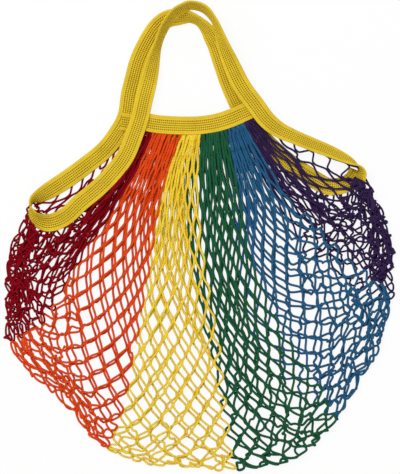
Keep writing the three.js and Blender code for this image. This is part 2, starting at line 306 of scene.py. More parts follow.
# %% Bend a grid into a band
RING_STEP = 2.1  # from one row of the grid to the next
SURFACE_GAP = 0.00005  # metres that a band keeps above the surface


def closed_piece(name, bm, mesh):
    """An object from a tube: its open ends are filled and its faces turned outwards."""
    bmesh.ops.holes_fill(bm, edges=[edge for edge in bm.edges if edge.is_boundary])
    bmesh.ops.recalc_face_normals(bm, faces=bm.faces)
    bm.to_mesh(mesh)
    bm.free()
    mesh.shade_smooth()
    piece = bpy.data.objects.new(name, mesh)
    bpy.context.scene.collection.objects.link(piece)
    return piece


def make_band(name, rows, seed):
    """A band as an object, and the length of its run."""
    length = float(run_length(rows)[0][-1])
    count = len(section)
    bm = bmesh.new()
    uv = bm.loops.layers.uv.new("along")
    bmesh.ops.create_grid(bm, x_segments=count, y_segments=int(length / RING_STEP), size=0.5)
    grid = np.array([vert.co[:2] for vert in bm.verts]) + 0.5
    column = np.rint(grid[:, 0] * count).astype(int)
    place = grid[:, 1] * length
    for face in bm.faces:
        for loop in face.loops:
            i = int(round((loop.vert.co.x + 0.5) * count)) % count
            loop[uv].uv = ((loop.vert.co.y + 0.5) * length * MM, section[i, 0] * MM)
    points = band_points(rows, place, column % count, seed) * MM
    points[:, 2] = np.maximum(points[:, 2], SURFACE_GAP)
    for vert, point in zip(bm.verts, points):
        vert.co = point
    bmesh.ops.remove_doubles(bm, verts=bm.verts, dist=1e-6)
    piece = closed_piece(name, bm, bpy.data.meshes.new(name))
    print(name, "length in mm:", round(length), "faces:", len(piece.data.polygons))
    return piece, length


rows_needed = int(run_length(FRONT_STRIP)[0][-1] / RING_STEP)
print("grid of the front strip:", len(section), "columns,", rows_needed, "rows")

# %% The four bands
bands = {}
BAND_ROWS = {
    "front_strip": FRONT_STRIP,
    "back_strip": BACK_STRIP,
    "front_mouth_band": FRONT_MOUTH,
    "back_mouth_band": BACK_MOUTH,
}
for seed, (name, rows) in enumerate(BAND_ROWS.items()):
    bands[name] = make_band(f"{name}_ribbed", rows, 10 * seed)

# %% [markdown]
# ## The lie of the net
# Each layer of the net hangs from its mouth band, is held along both sides by a strip, and meets
# the other layer at the fold. A simulation of its thousands of bars, all in contact, would be slow
# and hard to steer, so tables give the fold, and three points on each seam between two colours. A
# curve down each seam and another across the seams then place any joint of the net. A line of the
# net is numbered in stripes, from 0 at the left edge to 6 at the right, and u is that as a share.

# %% Fold and seams
# Points on the fold from the left tip round the bottom to the right tip: at each seam between two
# stripes and in the middle of each stripe.
FOLD = [
    (-172, 13),
    (-202, -46),
    (-194, -110),
    (-145.5, -170.5),
    (-95.5, -221.5),
    (-28.5, -239),
    (40, -243.2),
    (99.5, -233),
    (141.5, -193),
    (179, -132),
    (200, -67),
    (212, -8),
    (194, 60),
]
FRONT_SHARES = [0, 0.15, 0.375, 0.545, 0.795, 0.95, 1]  # of the mouth edge, at the seams
BACK_SHARES = [0, 0.2, 0.38, 0.46, 0.77, 0.94, 1]
# For each of the five seams, where it is a quarter, half and three quarters of the way down.
FRONT_SEAMS = [
    [(-79, 46), (-117, -4), (-147, -70)],
    [(-42, 26), (-51, -57), (-69, -135)],
    [(1, 22), (13, -63), (30, -149)],
    [(49, 28), (66, -53), (104, -124)],
    [(82, 64), (117, 18), (161, -22)],
]
BACK_SEAMS = [
    [(-79, 49), (-118, -4), (-151, -64)],
    [(-48, 27), (-56, -56), (-72, -135)],
    [(-15, 24), (0, -62), (23, -149)],
    [(38, 28), (46, -58), (74, -130)],
    [(73, 56), (103, 3), (146, -36)],
]
print("seams in each layer:", len(FRONT_SEAMS), len(BACK_SEAMS))

# %% Uneven stripes and rows
# Stripes that aren't spread evenly: the stripe, the line that it is bunched toward, and how much at
# each quarter of the way down, where 1 is evenly and less than 1 is bunched away from the line.
FRONT_BUNCHED = (
    (0, 1, (1, 1, 0.9, 0.8, 0.9)),
    (2, 2, (1.5, 1.5, 1.25, 1.1, 1)),
    (3, 3, (1.35, 1.4, 1.2, 1, 1)),
    (5, 5, (1.35, 1.3, 1.1, 0.85, 0.9)),
)
BACK_BUNCHED = (
    (0, 1, (1.7, 1.7, 1.4, 0.9, 0.9)),
    (3, 3, (1.3, 1.35, 1.2, 1, 1)),
    (5, 5, (1.1, 1.1, 0.95, 0.85, 0.9)),
)
# How far down the seams a quarter, half and three quarters of the rows reach, at some lines.
ROWS_DOWN = {
    0: (0.36, 0.66, 0.88),
    0.5: (0.42, 0.78, 0.92),
    0.85: (0.41, 0.76, 0.92),
    1: (0.37, 0.69, 0.9),
    1.6: (0.34, 0.65, 0.89),
    2: (0.3, 0.59, 0.84),
    3: (0.28, 0.557, 0.813),
    3.6: (0.285, 0.57, 0.825),
    4: (0.3, 0.59, 0.84),
    5: (0.365, 0.67, 0.89),
    5.3: (0.38, 0.68, 0.89),
    5.6: (0.39, 0.7, 0.9),
    6: (0.36, 0.66, 0.88),
}
# How much earlier on the left strip and on the right one a joint near it belongs.
SHEAR = (0.38, 0.2)
print("uneven stripes, front and back:", len(FRONT_BUNCHED), len(BACK_BUNCHED))

# %% Where the net is sewn to the strips
# For each half row in which the net is sewn to a strip, how far along its side edge that is, as a
# share: for the front layer at the left and right, and for the back layer at the left and right.
SEWN = {
    0: (0, 0, 0, 0),
    1: (0.05, 0.16, 0.07, 0.05),
    3: (0.13, 0.33, 0.195, 0.14),
    5: (0.21, 0.49, 0.32, 0.23),
    6: (0.28, 0.63, 0.435, 0.31),
    7: (0.34, 0.79, 0.53, 0.39),
    8: (0.4, 0.89, 0.64, 0.47),
    9: (0.48, 0.92, 0.755, 0.55),
    11: (0.55, 0.93, 0.87, 0.63),
    13: (0.62, 0.94, 0.93, 0.7),
    15: (0.69, 0.95, 0.95, 0.77),
    17: (0.75, 0.96, 0.97, 0.84),
    19: (0.82, 0.97, 0.98, 0.9),
    21: (0.9, 0.98, 0.985, 0.95),
    23: (0.97, 0.99, 0.99, 0.99),
    HALF_ROWS: (1, 1, 1, 1),
}
TUCK = 2.6  # how far a yarn reaches in under the edge of a band
print("half rows with a place of their own:", len(SEWN))


# %% Edge curves
def under_edge(rows, station, below):
    """Where a yarn is sewn: just inside the net edge of a band, `below` its middle plane."""
    middle, across, face = strip_at(rows, station)[:3]
    return middle + across * (BAND_WIDTH / 2 - TUCK) - face * below


def mouth_edge(rows, first, last, below):
    """A function from shares of a mouth edge to places on it, between two stations of a band."""
    return lambda share: under_edge(rows, first + (last - first) * np.asarray(share, float), below)


def side_edge(rows, first, last, below, beyond=()):
    """A function from shares of a side edge to places on it: it runs under a band from one station
    to another, and on through the points beyond."""
    line = np.vstack([under_edge(rows, np.linspace(first, last, 400), below), *beyond])
    run = np.linalg.norm(np.diff(line[:, :2], axis=0), axis=1)
    gone = np.concatenate([[0], run.cumsum() / run.sum()])
    return lambda share: np.stack([np.interp(share, gone, column) for column in line.T], -1)


print("net edge of the left tip:", under_edge(FRONT_STRIP, np.array([0.0]), 0).round(1))

# %% Edges of the two layers
FRONT_BELOW = 2.0  # from the middle of a band down to the yarns behind it
# The net's corners are gathered behind the tips of the front strip.
BEHIND_LEFT_TIP = [(-172, 26, 3), (-167, 19, 3)]
BEHIND_RIGHT_TIP = [(173, 66, 3), (170, 57, 3)]
SEWN_SHARES = np.array(list(SEWN.values())).T
# The numbers are the stations of the bands between which the net is sewn to them.
LAYERS = {
    "front": {
        "mouth": mouth_edge(FRONT_MOUTH, 0.1, 4.65, FRONT_BELOW),
        "left": side_edge(FRONT_STRIP, 10.3, 0, FRONT_BELOW, BEHIND_LEFT_TIP),
        "right": side_edge(FRONT_STRIP, 24.7, 32.4, FRONT_BELOW, BEHIND_RIGHT_TIP),
        "shares": FRONT_SHARES,
        "seams": FRONT_SEAMS,
        "sewn": SEWN_SHARES[:2],
        "bunched": FRONT_BUNCHED,
        "ahead": 0,
    },
    "back": {
        "mouth": mouth_edge(BACK_MOUTH, 3.76, 0.2, -FRONT_BELOW),
        "left": side_edge(BACK_STRIP, 26.9, 35, 0, BEHIND_LEFT_TIP),
        "right": side_edge(BACK_STRIP, 9.4, 0, 0),
        "shares": BACK_SHARES,
        "seams": BACK_SEAMS,
        "sewn": SEWN_SHARES[2:],
        "bunched": BACK_BUNCHED,
        "ahead": 1,  # its joints lie a half row lower, so that the layers close each other's gaps
    },
}
for name, layer in LAYERS.items():
    print(name, "mouth from", layer["mouth"](0.0).round(), "to", layer["mouth"](1.0).round())


# %% Places on the seams
def column_curve(points, station):
    """Like along(), where each place has its own column of points."""
    last = len(points) - 1
    station = np.clip(station, 0, last)
    first = np.minimum(station.astype(int), last - 1)
    padded = np.concatenate([2 * points[:1] - points[1:2], points, 2 * points[-1:] - points[-2:-1]])
    beside = (padded[first + k, np.arange(len(station))] for k in range(4))
    return smooth_step(*beside, (station - first)[..., None])


def sewn_share(table, down):
    """How far along a side edge the net is sewn at a share of the way down."""
    return np.interp(down * HALF_ROWS, list(SEWN), table)


def seam_place(layer, k, down, v):
    """Places on line k of a layer: a side edge (0 and 6) or the seam between two stripes."""
    if k in (0, 6):
        edge = layer["left"] if k == 0 else layer["right"]
        return edge(sewn_share(layer["sewn"][k // 6], down))[..., :2]
    top = layer["mouth"](np.full_like(down, layer["shares"][k]))[..., :2]
    foot = along(FOLD, np.full_like(down, 2.0 * k))
    points = [np.broadcast_to(point, top.shape) for point in layer["seams"][k - 1]]
    return column_curve(np.stack([top, *points, foot]), v * 4)


half = np.array([0.5])
print("middle of the green seam, in mm:", seam_place(LAYERS["front"], 3, half, half)[0].round())


# %% Rows on their way down
def rows_ahead(layer, u, down):
    """How much lower a layer's joints are planned, so that it closes the other one's gaps."""
    # Near the mouth the back layer is ahead by its full half row. Lower down it still is at the
    # right, but only by a third of that at the left, where the meshes of both layers lie doubled.
    above = np.interp(down, (0, 0.12), (0, 1))
    below = np.minimum(1, 4 * (1 - down)) * np.interp(u * 6, (2.5, 4), (0.35, 1))
    ahead = above + (below - above) * np.interp(down, (0.15, 0.35), (0, 1))
    return layer["ahead"] * ahead / HALF_ROWS


def down_seams(u, down):
    """The share of the way down the seams that a share of the rows reaches."""
    reached = [np.interp(u * 6, list(ROWS_DOWN), column) for column in zip(*ROWS_DOWN.values())]
    reached = np.stack([0 * u, *reached, 0 * u + 1])[..., None]
    v = column_curve(reached, down * 4)[:, 0]
    # At the bottom of the bag the last rows lie close together, so that its edge is nearly smooth.
    close = 0.8 * np.exp(-(1 - v) * HALF_ROWS / 1.8) * np.interp(np.abs(u * 6 - 3), (1, 2), (1, 0))
    return 1 - (1 - v) * (1 - close)


print("half the rows reach this share of the green seam:", down_seams(half, half).round(2))


# %% A joint's place before the net settles
def bunched_line(layer, u, v):
    """The line of the net on which a joint lies once its stripe is bunched."""
    line = u * 6
    for stripe, toward, amounts in layer["bunched"]:
        away = np.clip(np.abs(line - toward), 0, 1) ** np.interp(v * 4, range(5), amounts)
        moved = toward + away if stripe == toward else toward - away
        line = np.where((line > stripe) & (line < stripe + 1), moved, line)
    return line


def design(layer, u, down):
    """Places for joints at u across the net (0 left, 1 right) and at a share of the way down."""
    down = down + rows_ahead(layer, u, down)
    v = down_seams(u, down)
    # Near a strip the bars run straight away from it, so a joint belongs to an earlier place there.
    near_edge = np.minimum(u, 1 - u) * 6
    shear = np.where(u < 0.5, *SHEAR)
    edge_down = down - shear * near_edge * np.maximum(1 - near_edge, 0)
    lines = [seam_place(layer, k, edge_down if k in (0, 6) else down, v) for k in range(7)]
    place = column_curve(np.stack(lines), bunched_line(layer, u, v))
    seams = np.arange(7)
    tops = layer["mouth"](np.array(layer["shares"]))[:, None, :2]
    tops = column_curve(np.broadcast_to(tops, (7, len(u), 2)), u * 6)
    top = layer["mouth"](np.interp(u * 6, seams, layer["shares"]))[:, :2]
    feet = np.broadcast_to(along(FOLD, 2.0 * seams)[:, None], (7, len(u), 2))
    foot = along(FOLD, u * 12)
    # The curves meet the mouth and the fold at the seams, and are drawn to them in between.
    place = place + (top - tops) * ((1 - v) ** 3)[:, None]
    inside = np.minimum(1, np.minimum(u, 1 - u) * 40)
    return place + (foot - column_curve(feet, u * 6)) * (v**3 * inside)[:, None]


print("middle of the front, in mm:", design(LAYERS["front"], half, half)[0].round())

# %% [markdown]
# ## Joints and bars
# In even half rows the first yarn is joined to the second, the third to the fourth and so on, and
# in odd ones the second to the third. The net is wider below than at the mouth, so a few extra
# yarns begin at each strip, one half row after another. Whatever yarn is outermost is sewn to the
# strip. A bar is the yarn between two joints. Real yarn hardly stretches, so a few hundred small
# corrections pull two joints together where their bar is too long, and yarn that is left over makes
# the loose curls. The tables ask for a little more net than there is, so about one bar in six stays
# too long, nearly all of them by less than two millimetres.

# %% Number the joints
ROWS = 2 * HALF_ROWS + 1
yarns = np.arange(YARNS)
outside = np.maximum(np.maximum(EXTRA - yarns, yarns - (YARNS - 1 - EXTRA)), 0)
start_row = np.where(outside > 0, FIRST_EXTRA_ROW - 1 + outside, 0)
end_row = ROWS - 1 - start_row
partner = np.zeros((ROWS, YARNS), int)
joint_of = np.zeros((ROWS, YARNS), int)
joint_row = []
joint_line = []
for row in range(ROWS):
    live = (start_row <= row) & (row <= end_row)
    other = np.where((yarns + row) % 2 == 0, yarns + 1, yarns - 1)
    inside = (other >= 0) & (other < YARNS)
    partner[row] = np.where(inside & live & live[other % YARNS], other, yarns)
    # The outer stripes widen as their extra yarns begin, and the places of joints are counted so.
    begun = np.clip(min(row, ROWS - 1 - row) - FIRST_EXTRA_ROW, 0, EXTRA)
    seams = np.arange(7) * STRIPE_YARNS + np.array([-begun, 0, 0, 0, 0, 0, begun])
    for yarn in yarns[live]:
        if 0 <= partner[row, yarn] < yarn:
            joint_of[row, yarn] = joint_of[row, yarn - 1]
            continue
        joint_of[row, yarn] = len(joint_row)
        single = partner[row, yarn] == yarn
        place = yarn - EXTRA + (0 if single and yarn < YARNS / 2 else 1)
        joint_row.append(row)
        joint_line.append(np.interp(place, seams, range(7)))
for yarn in yarns:
    joint_of[: start_row[yarn], yarn] = joint_of[start_row[yarn], yarn]
    joint_of[end_row[yarn] + 1 :, yarn] = joint_of[end_row[yarn], yarn]
joint_row = np.array(joint_row)
joint_u = np.array(joint_line) / 6
alone = partner == yarns
bar_row = np.arange(ROWS - 1)[:, None]
live_bars = (start_row <= bar_row) & (bar_row < end_row)
bar_from = joint_of[:-1][live_bars]
bar_to = joint_of[1:][live_bars]
bar_ends = (bar_from, bar_to)
first_beside = np.flatnonzero(joint_row[1:] == joint_row[:-1])
beside = (first_beside, first_beside + 1)  # joints that are neighbours in a row
print("joints:", len(joint_row), "bars:", len(bar_from))

# %% Where each joint is planned
on_front = joint_row <= HALF_ROWS
down = np.where(on_front, joint_row, 2 * HALF_ROWS - joint_row) / HALF_ROWS
at_mouth = (joint_row == 0) | (joint_row == ROWS - 1)
sewn = (joint_u == 0) | (joint_u == 1)
at_fold = joint_row == HALF_ROWS
fixed = at_mouth | sewn
planned = np.zeros((len(joint_row), 2))
sewn_height = np.zeros(len(joint_row))
for name, chosen in (("front", on_front), ("back", ~on_front)):
    layer = LAYERS[name]
    planned[chosen] = design(layer, joint_u[chosen], down[chosen])
    for side, u in (("left", 0), ("right", 1)):
        ends = chosen & (joint_u == u)
        place = layer[side](sewn_share(layer["sewn"][u], down[ends]))
        planned[ends] = place[:, :2]
        sewn_height[ends] = place[:, 2]
    mouth = chosen & at_mouth
    share = np.interp(joint_u[mouth] * 6, range(7), layer["shares"])
    planned[mouth] = layer["mouth"](share)[:, :2]
    sewn_height[mouth] = layer["mouth"](share)[:, 2]
print("planned joints reach", planned.min(0).round(), planned.max(0).round())

# %% [markdown]
# ## The disorder of a net that was laid down
# No real net lies in even rows. Both layers stray together over wide patches and apart over narrow
# ones, each joint strays a little by itself, and near the mouth the joints slip along their yarns.
# Shifts that are smooth over the bag, with a seed of their own, do this without tearing the meshes.

# %% Patchy shifts
DRIFT = (80, 2.5)  # size of the patches over which both layers stray together, and how far
WAVES = 24  # that a patchy shift is made of


def patchy(places, size, seed):
    """Smooth random shifts in plan, changing over about `size` millimetres."""
    dice = np.random.default_rng(seed)
    shift = np.zeros((len(places), 2))
    for _ in range(WAVES):
        wave = dice.normal(0, 2 * np.pi / size / 1.6, 2)
        shift += np.sin(places @ wave + dice.uniform(0, 6.28))[:, None] * dice.normal(0, 1, 2)
    return shift / np.sqrt(WAVES / 2)


drift = patchy(planned, DRIFT[0], 21) * DRIFT[1]
print("both layers stray by, in mm:", np.linalg.norm(drift, axis=1).mean().round(1))

# %% One layer aside of the other
PATCH = 45  # size of the patches over which the layers stray apart
APART = (2.4, 3.4)  # how far they do, in the left half and at the right
ASIDE = (-6.5, 3.0)  # how far the back layer lies aside of the front one at the right
# From the yellow stripe to the right and below the mouth, the back layer lies aside.
aside = np.clip((joint_u - 0.35) * 6, 0, 1) * ~on_front
aside = aside * np.interp(down, (0.3, 0.5, 0.9, 1), (0, 1, 1, 0))
aside = aside[:, None] * np.array(ASIDE)
apart = np.where(on_front, 1, -1) * np.interp(joint_u, (0.5, 0.75), APART)
apart *= np.interp(down, (0.1, 0.5), (0.15, 1))
apart = patchy(planned, PATCH, 22) * apart[:, None]
print("the layers stray apart by, in mm:", np.linalg.norm(apart, axis=1).mean().round(1))

# %% Shift the joints
SHIVER = 1.0  # how far each joint strays by itself
SLIPPED = (3.2, 7)  # how far joints slip along the yarns at the mouth, fading over these half rows


def bar_vectors(joints):
    """From the upper joint of each bar to its lower one."""
    return joints[bar_to] - joints[bar_from]


def flow_at(joints):
    """The way that the yarns run through each joint."""
    flow = np.zeros_like(joints)
    np.add.at(flow, bar_from, unit(bar_vectors(joints)))
    np.add.at(flow, bar_to, unit(bar_vectors(joints)))
    return unit(flow + 1e-6)


shiver = rng.normal(0, SHIVER, planned.shape)
# Where the net is gathered at the mouth its joints don't line up in rows, and don't stray either.
slipped = rng.normal(0, SLIPPED[0], len(planned)) * np.exp(-down * HALF_ROWS / SLIPPED[1])
loose = np.minimum(1, 5 * down)
shift = (drift + apart + aside + shiver) * loose[:, None] + flow_at(planned) * slipped[:, None]
shift = np.where((fixed | at_fold)[:, None], 0, shift)
planned += shift
print("mean shift in mm:", np.linalg.norm(shift, axis=1).mean().round(1))

# %% Let the net settle
# The net settles as planned, and again once its slack joints have slipped. For each time: the share
# of the way back to its goal that a joint goes in a step, the same at the fold, and the steps.
SETTLE = ((0.012, 0.2, 300), (0.02, 0.3, 150))
LIMITS = ((bar_ends, 3.0, BAR - 0.3), (beside, 3.4, 60.0))  # nearest and farthest, for each pair
EAGER = 1.5  # each joint goes this much farther than it is pushed, so that the net settles sooner


def settle(goal, held, held_at_fold, steps):
    """Pull joints together where a bar is too long, held loosely to their goal."""
    joints = goal.copy()
    hold = np.where(at_fold, held_at_fold, held)[:, None]
    for _ in range(steps):
        move = np.zeros_like(joints)
        weight = np.zeros(len(joints))
        for pair, short, long in LIMITS:
            gap = joints[pair[1]] - joints[pair[0]]
            length = np.maximum(np.linalg.norm(gap, axis=1), 1e-6)
            wrong = np.maximum(length - long, 0) + np.minimum(length - short, 0)
            push = gap / length[:, None] * wrong[:, None] / 2
            active = (wrong != 0).astype(float)
            np.add.at(move, pair[0], push)
            np.add.at(move, pair[1], -push)
            np.add.at(weight, pair[0], active)
            np.add.at(weight, pair[1], active)
        joints += move / np.maximum(weight, 1)[:, None] * EAGER
        joints += (goal - joints) * hold
        joints[fixed] = planned[fixed]
    return joints


joints = settle(planned, *SETTLE[0])
lengths = np.linalg.norm(bar_vectors(joints), axis=1)
print("bars longer than their yarn:", int((lengths > BAR + 0.2).sum()), "of", len(lengths))

# %% Slip where the net is slack
SLIP = 8  # mm that a joint would slip if its bars had all their yarn to spare
STRAY = 1.5  # mm that it would then stray by itself


def per_joint(pair, values=None):
    """At each joint, the sum of the values of its pairs, or how many pairs it has."""
    return sum(np.bincount(ends, values, len(joint_row)) for ends in pair)


# How much yarn each joint's bars have to spare: 0 when taut, near 1 when bunched.
slack = np.maximum(per_joint(bar_ends, 1 - lengths / BAR) / per_joint(bar_ends), 0)
# Slack joints slip along the yarns, but in the outer stripes they slip across them.
at_side = np.clip(np.abs(joint_u * 6 - 3) * 2 - 3.6, 0, 1)[:, None]
slip_way = flow_at(joints)
slip_way = slip_way * (1 - at_side) + np.stack([-slip_way[:, 1], slip_way[:, 0]], -1) * at_side
slip = rng.normal(0, 1, len(joints)) * np.maximum(slack - 0.1, 0) * SLIP
tangled = joints + slip_way * slip[:, None]
tangled += rng.normal(0, STRAY, joints.shape) * slack[:, None]
tangled[at_fold | fixed] = joints[at_fold | fixed]
joints = settle(tangled, *SETTLE[1])
lengths = np.linalg.norm(bar_vectors(joints), axis=1)
print("bars, in mm: mean", lengths.mean().round(1), "longest", lengths.max().round(1))
print("bars longer than their yarn:", int((lengths > BAR + 0.2).sum()), "of", len(lengths))

# %% [markdown]
# ## Yarns
# At a joint two yarns touch, turn and part again, so a net looks like two sets of lines that cross:
# each line comes down one yarn and goes on down the other. A yarn between two joints is a Bezier
# curve that leaves each joint along such a line. Its handles are lengthened until it holds its
# yarn, but for what the joints draw in, so a slack bar bows out or turns an S. A bar that is too
# long runs nearly straight. At the fold a line rounds the bottom of the bag.

# %% Slack of each bar
TAKEN_UP = (0.06, 0.34, 0.3)  # share of a bar that joints draw in: anywhere, at the sides, gathered
ROUNDED = 0.5  # how far a line turns along the joint, which rounds the corners of the meshes
SWING = 2.6  # how strongly a line swings aside at a joint for the yarn that its bars can spare
MOST_SWING = (1.3, 0.7)  # in radians, and how much less at the sides
ODD_SWING = 0.06  # radians that any line swings, slack or not
bars = joints[joint_of[1:]] - joints[joint_of[:-1]]
bar_way = unit(bars)
FREE = BAR - JOINT
# At the mouth the stitches of the band draw the yarns straight, but for some beside the green.
loose_yellow = (joint_u * 6 > 2.38) & (joint_u * 6 < 3) & on_front
gathered = np.exp(-((down * HALF_ROWS / 5.5) ** 2)) * ~loose_yellow
# The joints draw in a little of a bar before it bows. At the sides and where the net is gathered
# they are taken to draw in much more, since so much loose yarn would leave no mesh open there.
taken_up = TAKEN_UP[0] + TAKEN_UP[1] * at_side[:, 0] + TAKEN_UP[2] * gathered
taken_up = taken_up[joint_of[:-1]]
spare = np.clip(1 - (np.linalg.norm(bars, axis=-1) - JOINT * 0.6) / FREE, 0, 0.9)
spare = np.maximum(spare - taken_up, 0) * live_bars
print("slack bars:", int((spare > 0.15).sum()), "of", spare.size)


# %% Lines through the joints
def turned(vectors, angle):
    """Level vectors turned to their left."""
    c, s = np.cos(angle)[..., None], np.sin(angle)[..., None]
    return vectors * c + np.stack([-vectors[..., 1], vectors[..., 0]], -1) * s


axis = flow_at(joints)
arrive = bar_way.copy()  # direction of travel at the end of each bar
leave = bar_way.copy()  # direction of travel at its start
for row in range(1, ROWS - 1):
    before, after = bar_way[row - 1], bar_way[row]
    through = unit(before + after[partner[row]] + 1e-6)
    straight = ROUNDED + (1 - ROUNDED) * gathered[joint_of[row]][:, None]
    through = unit(through * (1 - straight) + axis[joint_of[row]] * straight)
    amount = np.sqrt(SWING * (spare[row - 1] + spare[row][partner[row]]))
    sign = rng.choice([-1.0, 1.0], YARNS)
    most = MOST_SWING[0] - MOST_SWING[1] * at_side[joint_of[row], 0]
    through = turned(through, sign * np.minimum(amount, most) + rng.normal(0, ODD_SWING, YARNS))
    toward_band = unit(before - after + 1e-6)
    arrive[row - 1] = np.where(alone[row][:, None], unit(before + toward_band), through)
    out = np.zeros_like(after)
    out[partner[row]] = through
    leave[row] = np.where(alone[row][:, None], unit(after - toward_band), out)
swung = np.degrees(np.arccos(np.clip((leave * bar_way).sum(-1)[live_bars], -1, 1)))
print("mean swing at a joint, in degrees:", swung.mean().round())

# %% Where each yarn passes its joints
fold_run = unit(along(FOLD, joint_u * 12 + 0.05) - along(FOLD, joint_u * 12 - 0.05))
# From a joint's middle to the middle of each of its yarns. Where the net is gathered at the mouth
# its yarns lie evenly side by side, a quarter of the way from one joint to the one beyond the next.
NEAR = 0.32 * YARN
UNEVEN = 0.5  # how far off those even places they lie
apart_by = np.linalg.norm(joints[beside[1]] - joints[beside[0]], axis=1)
even = per_joint(beside, apart_by) / np.maximum(per_joint(beside), 1) / 4
even = np.clip(even, NEAR, 0.6 * YARN)
near = NEAR + (even - NEAR) * gathered
wobble = rng.normal(0, UNEVEN, (ROWS, YARNS)) * gathered[joint_of]
# Two yarns run side by side for less where they part widely.
lengthwise = np.zeros(len(joints))
for ends in bar_ends:
    np.add.at(lengthwise, ends, np.abs((bar_way[live_bars] * axis[ends]).sum(-1)))
lengthwise /= per_joint(bar_ends)
touching = JOINT * np.minimum(1, 1.5 * lengthwise)
HAIRPIN = 0.9  # how far along the fold a yarn's turn reaches
entry = np.zeros((ROWS, YARNS, 2))
middle_of = np.zeros((ROWS, YARNS, 2))
leaving = np.zeros((ROWS, YARNS, 2))
for row in range(ROWS):
    at = joint_of[row]
    side = np.where((yarns + row) % 2 == 0, -1.0, 1.0)[:, None] * ~alone[row][:, None]
    normal = np.stack([axis[at][:, 1], -axis[at][:, 0]], -1) * (-1 if row < HALF_ROWS else 1)
    middle_of[row] = joints[at] + normal * (side[:, 0] * near[at] + wobble[row])[:, None]
    reach = axis[at] * touching[at][:, None] / 2
    entry[row] = middle_of[row] - reach
    leaving[row] = middle_of[row] + reach
    if row == HALF_ROWS:
        middle_of[row] = joints[at] + fold_run[at] * side * YARN * 0.1
        entry[row] = middle_of[row] + fold_run[at] * side * HAIRPIN
        leaving[row] = entry[row]
print("yarns touch over, in mm: mean", touching.mean().round(1), "least", touching.min().round(1))

# %% Curves that hold the yarn
SAMPLES = 13  # points on the curve of a bar
t = np.linspace(0, 1, SAMPLES)[:, None]
start, end = leaving[:-1][..., None, :], entry[1:][..., None, :]
start_way, end_way = leave[..., None, :], arrive[..., None, :]


def bezier(handle):
    """The curve of every bar, where both its handles have this length."""
    handle = handle[..., None, None]
    corners = (start, start + start_way * handle, end - end_way * handle, end)
    weights = ((1 - t) ** 3, 3 * t * (1 - t) ** 2, 3 * t**2 * (1 - t), t**3)
    return sum(weight * corner for weight, corner in zip(weights, corners))


span = np.linalg.norm(end - start, axis=-1)[..., 0]
free = np.maximum(FREE * (1 - taken_up), span * 1.003)
low, high = span * 0.2, np.maximum(span * 0.5, FREE * 1.1)
# Halving the doubt sixteen times finds the handle that gives a curve the length of its yarn.
for _ in range(16):
    handle = (low + high) / 2
    long = np.linalg.norm(np.diff(bezier(handle), axis=-2), axis=-1).sum(-1) > free
    high = np.where(long, handle, high)
    low = np.where(long, low, handle)
curves = bezier((low + high) / 2)
print("curves:", curves.shape)

# %% One path for each yarn
TAIL = 3.0  # yarn that goes on under the band
paths = []
rows_of = []  # the half row that each point of a path has reached
for yarn in range(YARNS):
    first, last = start_row[yarn], end_row[yarn]
    pieces = [(curves[first, yarn, 0] - bar_way[first, yarn] * TAIL)[None]]
    reached = [first]
    for row in range(first, last):
        pieces.append(curves[row, yarn])
        reached += list(row + 0.05 + 0.9 * t[:, 0])
        if row + 1 < last:
            pieces.append(middle_of[row + 1, yarn][None])
            reached.append(row + 1)
    pieces.append((curves[last - 1, yarn, -1] + bar_way[last - 1, yarn] * TAIL)[None])
    reached.append(last)
    paths.append(np.concatenate(pieces))
    rows_of.append(np.array(reached, float))
print("points in the yarns:", sum(len(path) for path in paths))

# %% [markdown]
# ## Heights
# The back layer lies on the surface and the front layer lies loosely on top, held up along its
# edges by the bands. Real yarns lie on one another, so these are laid one after another on a height
# map of what is already there: each takes the height below it, is smoothed as a stiff yarn would
# be, and is then added to the map. That is quick and settles most crossings, but where the net is
# bunched some yarns still cut into each other. The bands are on the map too, as a pile under the
# front layer or as a roof over it.

# %% Heights of the joints
RADIUS = YARN / 2
FRONT_REST = 4.0  # the height to which the front layer tends
BACK_REST = RADIUS + 0.3
FOLD_HEIGHT = 2.1
NEIGHBOURS, OWN = 0.8, 0.2  # shares of the neighbours' mean and of the layer's own height
rest = np.where(on_front, FRONT_REST, BACK_REST)
joint_height = np.where(fixed, sewn_height, np.where(at_fold, FOLD_HEIGHT, rest))
for _ in range(80):
    total = np.zeros(len(joints))
    np.add.at(total, bar_from, joint_height[bar_to])
    np.add.at(total, bar_to, joint_height[bar_from])
    joint_height = NEIGHBOURS * total / per_joint(bar_ends) + OWN * rest
    joint_height[fixed] = sewn_height[fixed]
    joint_height[at_fold] = FOLD_HEIGHT
print("joint heights in mm:", joint_height.min().round(1), "to", joint_height.max().round(1))

# %% Piles and roofs
CELL = 1.0  # of the height map
MARGIN = 12  # of the map, round the net
CLOUD_STEP = 0.6  # along a band, from one ring of its points to the next
NO_ROOF = 99.0
every_point = np.concatenate(paths)
map_low = every_point.min(0) - MARGIN
map_size = tuple(((every_point.max(0) + MARGIN - map_low) / CELL).astype(int) + 1)
pile = np.zeros(map_size)


def cells_of(places):
    """The cells of the map that places lie in."""
    cells = ((places - map_low) / CELL).astype(int)
    return np.clip(cells[:, 0], 0, map_size[0] - 1), np.clip(cells[:, 1], 0, map_size[1] - 1)


def band_cloud(rows):
    """Points all over a band."""
    length = run_length(rows)[0][-1]
    places = np.repeat(np.arange(0, length, CLOUD_STEP), len(section))
    around = np.tile(np.arange(len(section)), len(places) // len(section))
    return band_points(rows, places, around, 0)


def under_bands(clouds):
    """A roof over the net: the underside of some bands."""
    roof = np.full(map_size, NO_ROOF)
    for cloud in clouds:
        np.minimum.at(roof, cells_of(cloud[:, :2]), cloud[:, 2])
    return roof


front_roof = under_bands([band_cloud(FRONT_STRIP), band_cloud(FRONT_MOUTH)])
back_roof = under_bands([band_cloud(rows) for rows in BAND_ROWS.values()])
print("cells under a band:", int((back_roof < NO_ROOF).sum()))


